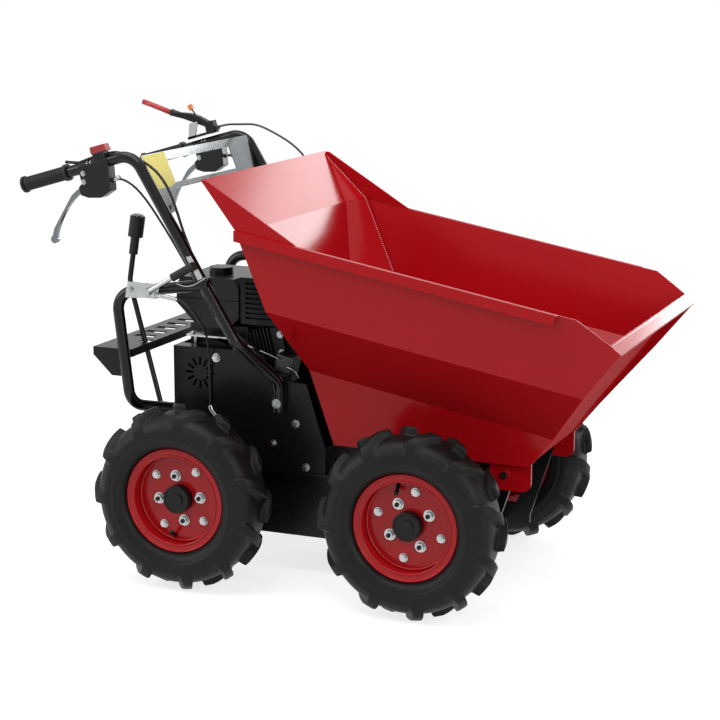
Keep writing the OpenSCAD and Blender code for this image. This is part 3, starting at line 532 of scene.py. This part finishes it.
# Zinc control bracket between the case and the tank, with its linkage and carburettor
block("control_bracket", (-602, -160, 527), (-488, -98, 531), "chassis", bright_zinc, 0.8)
block("bracket_leg_rear", (-598, -130, 504), (-592, -100, 528), "chassis", bright_zinc, 0.8)
block("bracket_leg_front", (-500, -130, 504), (-494, -100, 528), "chassis", bright_zinc, 0.8)
fasten("bracket_bolts", "chassis", [(at(x, -150, 531), (0, 0, 1)) for x in (-590, -500)],
       (5, 4), (7, 1), (2.5, 0.8))
block("carburettor", (-398, -132, 452), (-356, -84, 494), "chassis", cast_alloy, 4, 14)
block("float_bowl", (-392, -128, 432), (-362, -90, 454), "chassis", cast_alloy, 6, 0)
tube("throttle_link", [(-384, -136, 486), (-420, -140, 500), (-470, -142, 515), (-520, -140, 528)], 1.6,
     "chassis", bright_zinc)
tube("choke_link", [(-366, -136, 470), (-346, -138, 462), (-338, -136, 446)], 1.6,
     "chassis", bright_zinc)
tube("spark_lead", [(-372, -96, 545), (-352, -104, 556), (-352, -100, 580), (-380, -70, 592), (-420, -30, 590)],
     3.5, "chassis", tyre_rubber)

# Exhaust and inlet stubs that carry the silencer guard and the air cleaner on the head
for name, x, y, radius in (("exhaust_stub", -430, -60, 15), ("inlet_stub", -440, 5, 13)):
    tube(name, [(x, y, 536), (x, y, 550), (x, y, 564)], radius, "chassis", dark_casting)
head_spots = [(-402, 533), (-398, 492), (-383, 536)]
fasten("head_bolts", "chassis", [(at(x, -93.5, z), (0, -1, 0)) for x, z in head_spots], (6, 5), (8, 1.2), (3, 1))

# Handlebars, braces and tray
# Bent steel tube in gloss black powder coat, rubber grips, moulded lever housings and
# bright zinc levers and brackets.

# Gloss black on the tubes: a smoother coat that draws the lamps out into streaks
gloss_black = finish("gloss_black_coat", ("#070708", "#0c0c0d"), (0.15, 0.22), 90, 4, 0.02,
                     **{"Specular IOR Level": 0.28})
dress(gloss_black, "handlebars", "braces", "gear_lever", "tip_lever")
dress(black_powder, "rear_tray")
# Soft moulded rubber: matt black; grain of under 1 mm, drawn at 2.5 mm
grip_rubber = finish("grip_rubber", ("#0d0d0d", "#1a1a1a"), (0.5, 0.66), 30, 2.5, 0.15,
                     **{"Specular IOR Level": 0.3})
dress(grip_rubber, "grips", "lever_grips")
dress(bright_zinc, "brake_plate", "brake_lever")
# Chromed steel: a darker, smoother mirror than zinc
bright_chrome = finish("bright_chrome", ("#6c6f71", "#808385"), (0.1, 0.16), 40, 4, 0.01, metallic=1.0)
dress(bright_chrome, "hand_levers", "cross_panel")
# Moulded red ABS: an even colour with a soft sheen
red_plastic = finish("red_moulding", ("#861318", "#94171b"), (0.34, 0.44), 40, 2.5, 0.06)
# Dipped vinyl: a warm red, softly glossy skin
red_vinyl = finish("red_vinyl", ("#9a1a1a", "#a8201d"), (0.3, 0.4), 40, 3, 0.05)

# Moulded ribs round the grips
grip_end = Vector((-936, 275, 862))
grip_dir = Vector((273, 0, 79)).normalized()
grip_up = Vector((-grip_dir.z, 0, grip_dir.x))


def on_grip(u, side, v, w):
    """Point on a handle: forward from the grip's end, out to the side, and square up."""
    place = grip_end + grip_dir * u + grip_up * w
    return at(place.x, side * (place.y + v), place.z)


rib_spots = [(on_grip(12 + 5.6 * k, side, 0, 0), grip_dir) for side in (-1, 1) for k in range(17)]
pegs("grip_ribs", "chassis", rib_spots, 15.6, 2.6, grip_rubber)


def grip_prism(name, side, outline, low, high, edge, material):
    """Prism on a handle: outline of (forward, up) points between two distances out, with broken edges."""
    shape = bmesh.new()
    rows = [[shape.verts.new(on_grip(u, side, v, w)) for u, w in outline] for v in (low, high)]
    for row in rows:
        shape.faces.new(row)
    for k in range(len(outline)):
        n = (k + 1) % len(outline)
        shape.faces.new((rows[0][k], rows[0][n], rows[1][n], rows[1][k]))
    bmesh.ops.recalc_face_normals(shape, faces=shape.faces)
    bmesh.ops.bevel(shape, geom=shape.edges[:], offset=edge / 1000, segments=3, affect="EDGES", profile=0.6)
    mesh = bpy.data.meshes.new(name)
    shape.to_mesh(mesh)
    shape.free()
    mesh.materials.append(material)
    return keep(name, mesh, "chassis")


# Moulded lever housings under the tube, with clamp bands and a small choke arm on the near one
housing_line = [(150, 6), (226, 6), (226, -4), (214, -64), (187, -73),
                (157, -66), (140, -56), (140, -38), (150, -32)]
for side, label in ((1, "left"), (-1, "right")):
    housing = grip_prism("lever_housing_" + label, side, housing_line, -16, 16, 3, black_plastic)
    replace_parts(housing, "lever_housings")
    tube_from = [on_grip(u, side, 0, w) for u, w in ((214, -43), (224, -42), (238, -40))]
    barrel = tube_mesh("cable_barrel_" + label, tube_from, 0.0045)
    barrel.materials.append(bright_zinc)
    keep("cable_barrel_" + label, barrel, "chassis")
pegs("clamp_bands", "chassis", [(on_grip(u, s, 0, 0), grip_dir) for s in (-1, 1) for u in (172, 181)],
     13.6, 2.2, bright_zinc)
arm_line = [on_grip(u, -1, 0, w) for u, w in ((117, 23), (132, 18), (150, 13), (196, 17))]
choke = tube_mesh("choke_arm", arm_line, 0.0034)
choke.materials.append(black_plastic)
keep("choke_arm", choke, "chassis")

# Stop switch on the near tube: red cap over a black body
cap = grip_prism("stop_switch_cap", -1, [(189, 22), (229, 22), (226, 38), (190, 38)], -12, 12, 2,
                 red_plastic)
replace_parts(cap, "stop_switch")
grip_prism("stop_switch_body", -1, [(191, 0), (221, 0), (221, 23), (193, 23)], -13, 13, 2,
           black_plastic)

# Tipping lever on the far tube: pressed arm, long vinyl sleeve, lock plate and orange tab
tip_arm_line = [(104, 88), (111, 95), (159, 79), (179, 67), (224, 28), (214, 18), (198, 18), (186, 46), (155, 62)]
grip_prism("tip_arm", 1, tip_arm_line, -9, 9, 2, black_powder)
sleeve_line = [on_grip(u, 1, 0, w) for u, w in ((40, 138), (60, 125.5), (80, 112), (112, 90))]
sleeve = tube_mesh("vinyl_sleeve", sleeve_line, 0.0066)
sleeve.materials.append(red_vinyl)
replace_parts(keep("vinyl_sleeve", sleeve, "chassis"), "tip_lever_sleeve")
grip_prism("lock_plate", 1, [(154, 56), (178, 54), (160, 18), (140, 18)], -15, -11, 1, bright_zinc)
# Moulded orange nylon: an even colour with a soft sheen
orange_plastic = finish("orange_moulding", ("#c8701a", "#d8801f"), (0.34, 0.44), 40, 2.5, 0.05)
grip_prism("lock_tab", 1, [(155, 98), (166, 101), (169, 88), (158, 85)], -4, 4, 1.5, orange_plastic)
stem = tube_mesh("lock_stem", [on_grip(u, 1, 0, w) for u, w in ((163, 88), (167, 80), (170, 70))], 0.0018)
stem.materials.append(black_powder)
keep("lock_stem", stem, "chassis")

# Cable set: black vinyl-covered control cables with zinc end fittings
# Extruded vinyl: a smooth black skin with a soft highlight along the cable
black_vinyl = finish("black_vinyl", ("#0c0c0d", "#171718"), (0.3, 0.42), 30, 2.5, 0.05,
                     **{"Specular IOR Level": 0.4})
cable_routes = {}
for side, name in ((-1, "drive_cable_right"), (1, "drive_cable_left")):
    cable_routes[name] = [
        (-735.6, side * 275, 875.8), (-715, side * 275, 882), (-690, side * 266, 882), (-655, side * 255, 852),
        (-600, side * 254, 780), (-520, side * 252, 655), (-470, side * 240, 565), (-430, side * 195, 520),
        (-412, side * 158, 490), (-408, side * 150, 420), (-408, side * 150, 244.3)]
cable_routes["tipping_cable"] = [
    (-737, 275, 951), (-706, 274, 958), (-674, 272, 960), (-629, 266, 961), (-585, 256, 949), (-528, 246, 923),
    (-490, 240, 893), (-472, 236, 860), (-456, 226, 800), (-434, 204, 740), (-418, 186, 680), (-406, 168, 600),
    (-400, 152, 520), (-398, 145, 440), (-398, 145, 244.3)]
cable_routes["brake_cable"] = [
    (-600, -296, 640), (-566, -296, 638), (-540, -293, 630), (-524, -276, 606), (-522, -238, 570),
    (-530, -200, 535), (-536, -180, 495), (-538, -173, 440), (-538, -172, 372)]
for name, route in cable_routes.items():
    path = smooth_path([at(*q) for q in route], 4)
    mesh = tube_mesh(name, path, 0.0025)
    mesh.materials.append(black_vinyl)
    piece = keep(name, mesh, "chassis")
    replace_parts(piece, "cables")

# Brake adjuster and clevis
tube("brake_adjuster", [(-600, -296, 640), (-582, -296, 639), (-552, -295, 634)], 5,
     "chassis", bright_zinc)
tube("brake_clevis", [(-538, -172.5, 376), (-534, -172.5, 366), (-520, -172.5, 352), (-504, -172.5, 345)], 5,
     "chassis", bright_zinc)

# Switch lead that hangs beside the near tube down to the engine
lead_route = [
    (-741, -275, 932), (-715, -270, 942), (-681, -268, 938), (-644, -268, 925), (-611, -268, 904),
    (-584, -268, 870), (-565, -268, 826), (-549, -266, 777), (-532, -264, 734), (-513, -262, 676),
    (-492, -250, 620), (-462, -212, 562), (-438, -168, 520), (-428, -128, 500)]
path = smooth_path([at(*q) for q in lead_route], 4)
mesh = tube_mesh("switch_lead", path, 0.003)
mesh.materials.append(black_vinyl)
piece = keep("switch_lead", mesh, "chassis")

# Chromed cap on the gear knob, strap and wire tie on the near tube
knob_cap = turned([(0.0125, 0), (0.0135, 0.002), (0.012, 0.0045), (0.008, 0.006)], 24, at(-717.7, -160, 788.6),
                  Vector((14, 0, 86)).normalized())
knob_cap.materials.append(bright_chrome)
keep("knob_cap", knob_cap, "chassis")
tube("wire_tie", [(-556, -290, 668), (-536, -291, 664), (-514, -290, 668), (-488, -286, 684)], 1.3,
     "chassis", bright_zinc)
plate("tube_strap", [(-533, -288, 727), (-521, -288, 730), (-493, -288, 684), (-505, -288, 678)], 2,
      "chassis", bright_zinc)

# Plain yellow film on the near cheek of the cross panel: thin vinyl with a satin face
yellow_film = finish("yellow_film", ("#c2b42c", "#cfc23a"), (0.32, 0.42), 25, 2.5, 0.02)
panel_down = Vector((0.3714, 0, -0.9285))
panel_out = Vector((0.9285, 0, 0.3714))
film = bmesh.new()
corners = []
for lift in (3.0, 3.4):
    for y, drop in ((-259, 1), (-157, 1), (-157, 74), (-175, 79), (-238, 79), (-259, 58)):
        spot = Vector((-654, 0, 935)) + panel_out * lift + panel_down * drop
        corners.append(film.verts.new(at(spot.x, y, spot.z)))
film.faces.new(corners[:6])
film.faces.new(list(reversed(corners[6:])))
for k in range(6):
    film.faces.new((corners[k], corners[6 + k], corners[6 + (k + 1) % 6], corners[(k + 1) % 6]))
bmesh.ops.recalc_face_normals(film, faces=film.faces)
mesh = bpy.data.meshes.new("panel_notice")
film.to_mesh(mesh)
film.free()
mesh.materials.append(yellow_film)
keep("panel_notice", mesh, "chassis")

# Bolts of the handle feet, the brake plate and the lever pivots
fasten("handle_bolts", "chassis", [(at(-366, s * 193, 399), (0, s, 0)) for s in (-1, 1)],
       (8, 6), (11, 1.6), (5, 3))
fasten("brake_bolts", "chassis", [(at(x, -291.9, z), (0, -1, 0)) for x, z in ((-668, 648), (-608, 640))],
       (6.5, 5), (9, 1.4), (3.5, 1.5))
pivot_spots = [(on_grip(u, s, d * 16, w), (0, s * d, 0))
               for s in (-1, 1) for d in (-1, 1) for u, w in ((161, -12), (157, -30))]
fasten("lever_pivots", "chassis", pivot_spots, (4.6, 3), (6, 1), (2.4, 0.8))

# Skip
# Folded 3 mm steel sheet with welded corners, sprayed in gloss red enamel. Sheen and tone
# drift a little over the large panels.

# Sprayed enamel on sheet: a deep, even red with a clear gloss and long soft reflections
skip_enamel = finish("skip_enamel", ("#9e0a12", "#a80d15"), (0.15, 0.2), 260, 6, 0.006,
                     **{"Specular IOR Level": 0.16})
# Undersides: the same enamel as thin overspray, which dries matt
matt_enamel = finish("matt_enamel", ("#9e0a12", "#a80d15"), (0.6, 0.75), 120, 5, 0.02,
                     **{"Specular IOR Level": 0.04})
sheets = ("skip_floor", "skip_side_left", "skip_side_right", "skip_rear_wall", "skip_front_panel", "skip_tabs")
for name in sheets:
    dress(skip_enamel, name)
    sheet = nodes[name].data
    sheet.materials.append(matt_enamel)
    for face in sheet.polygons:
        face.material_index = 1 if face.normal.z < -0.25 else 0

# Round dots set on each point of a run, for the weld beads
weld_dots = bpy.data.node_groups.new("weld_dots", "GeometryNodeTree")
for label, kind in (("Geometry", "Geometry"), ("Dot Radius", "Float"), ("Finish", "Material")):
    weld_dots.interface.new_socket(label, in_out="INPUT", socket_type="NodeSocket" + kind)
weld_dots.interface.new_socket("Geometry", in_out="OUTPUT", socket_type="NodeSocketGeometry")
given = put(weld_dots, "NodeGroupInput").outputs
dot = put(weld_dots, "GeometryNodeMeshIcoSphere", {"Radius": given["Dot Radius"], "Subdivisions": 3})
points = put(weld_dots, "GeometryNodeMeshToPoints", {"Mesh": given["Geometry"]})
set_out = put(weld_dots, "GeometryNodeInstanceOnPoints", {
    "Points": points.outputs[0], "Instance": dot.outputs["Mesh"]})
real = put(weld_dots, "GeometryNodeRealizeInstances", {"Geometry": set_out.outputs[0]})
smooth = put(weld_dots, "GeometryNodeSetShadeSmooth", {"Geometry": real.outputs[0]})
coat = put(weld_dots, "GeometryNodeSetMaterial", {"Geometry": smooth.outputs[0], "Material": given["Finish"]})
put(weld_dots, "NodeGroupOutput", {"Geometry": coat.outputs[0]})

# Weld beads under thick enamel: small round domes that catch the lamps. Their red is a painted highlight, lighter
# than the skip's enamel.
weld_enamel_painted_highlight = finish("weld_enamel_painted_highlight", ("#a80d15", "#b8141c"), (0.12, 0.2), 12, 3, 0.05,
                     **{"Specular IOR Level": 0.6, "Coat Weight": 1.0})


def weld(name, corners, radius, pitch):
    """Row of weld dots along straight runs between corners in millimetres."""
    spots = []
    for a, b in zip(corners, corners[1:]):
        a, b = at(*a), at(*b)
        count = max(1, round((b - a).length * 1000 / pitch))
        spots += [a.lerp(b, k / count) for k in range(count)]
    mesh = grow(weld_dots, spots, [(0, 0, 1)] * len(spots), {"Dot Radius": radius / 1000, "Finish": weld_enamel_painted_highlight})
    return keep(name, mesh, "skip")


# Corner plates welded across the rear corners, with their beads
for side, s in (("left", 1), ("right", -1)):
    apex, on_rear, on_side = (-470, s * 318, 890), (-388, s * 249, 789), (-367, s * 318, 793)
    foot_rear, foot_side = (-328, s * 138, 604), (-276, s * 291, 604)
    plate("corner_head_" + side, (apex, on_rear, on_side)[::s], 2, "skip", skip_enamel)
    plate("corner_plate_" + side, (on_rear, foot_rear, foot_side, on_side)[::s], 2,
          "skip", skip_enamel)
    toe = (-304, s * 258, 556)
    plate("corner_toe_" + side, (foot_rear, toe, foot_side)[::s], 2, "skip", skip_enamel)
    line = [(x + 2, y - s * 2.5, z) for x, y, z in (apex, on_side, foot_side)]
    weld("corner_weld_" + side, line, 2.9, 5.2)
